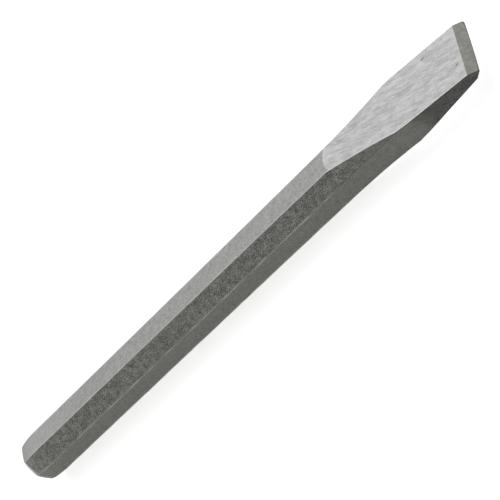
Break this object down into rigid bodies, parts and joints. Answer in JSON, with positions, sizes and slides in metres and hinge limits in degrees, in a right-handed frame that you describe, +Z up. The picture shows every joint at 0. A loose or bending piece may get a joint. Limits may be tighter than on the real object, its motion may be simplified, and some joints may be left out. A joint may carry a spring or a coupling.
{
  "type": "cold chisel",
  "caption": "Flat cold chisel: an octagonal steel shank with a crowned struck head, flared and ground to a broad bevelled cutting edge.",
  "frame": {"origin": "middle of the bounding box in plan, at the lower flat it rests on (Z = 0)", "axes": "+X along the bar towards the cutting edge, +Y across the blade's width, +Z up through the blade's thickness"},
  "size_m": [0.25, 0.0204, 0.0175],
  "materials": {
    "forged_steel": "shot-blasted grey steel on the shank, ground bright on the blade faces and satin on the bevels"
  },
  "bodies": {
    "root": {"forged_chisel": "forged_steel"}
  },
  "joints": []
}
